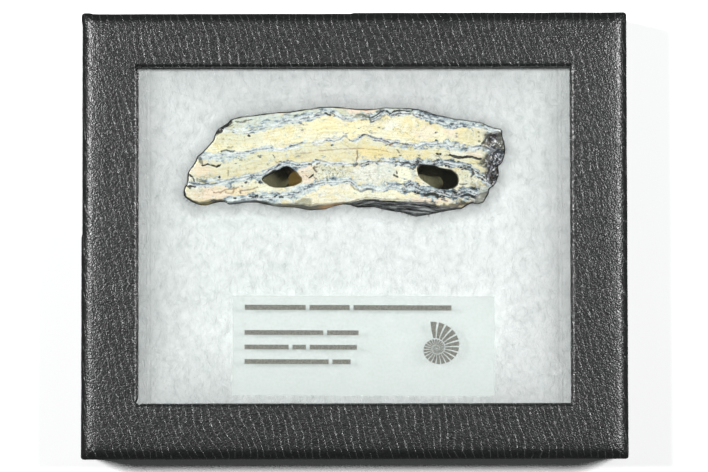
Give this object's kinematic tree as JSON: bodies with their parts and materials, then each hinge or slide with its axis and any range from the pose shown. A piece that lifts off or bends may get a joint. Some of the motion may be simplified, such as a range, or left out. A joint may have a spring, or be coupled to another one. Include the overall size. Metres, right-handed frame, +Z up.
{
  "type": "fossil mammoth tooth slice in display case",
  "caption": "Polished slice of fossil mammoth tooth bedded in white fibre fill inside a shallow black specimen case with a glazed window lid and a film label.",
  "frame": {"origin": "centre of the case's underside", "axes": "+X along the case's length, +Y across it towards the slice, +Z up out of the window"},
  "size_m": [0.1396, 0.1142, 0.0191],
  "materials": {
    "leatherette_paper": "black embossed paper with a fine leather grain, over chipboard",
    "black_paper": "plain matte black paper over chipboard",
    "glass": "clear flat glass",
    "label_film": "translucent matte film with grey printing",
    "fossil_tooth": "cut and polished fossil tooth, stands in for mineralised dentine, enamel and cement",
    "fibre_fill": "white polyester fibre fill",
    "pin_steel": "plain steel pin"
  },
  "bodies": {
    "root": {"lid": "leatherette_paper", "tray": "black_paper", "glass_pane": "glass", "label": "label_film", "tooth_slice": "fossil_tooth", "fibre_fill": "fibre_fill", "pin_left": "pin_steel", "pin_right": "pin_steel"}
  },
  "joints": []
}
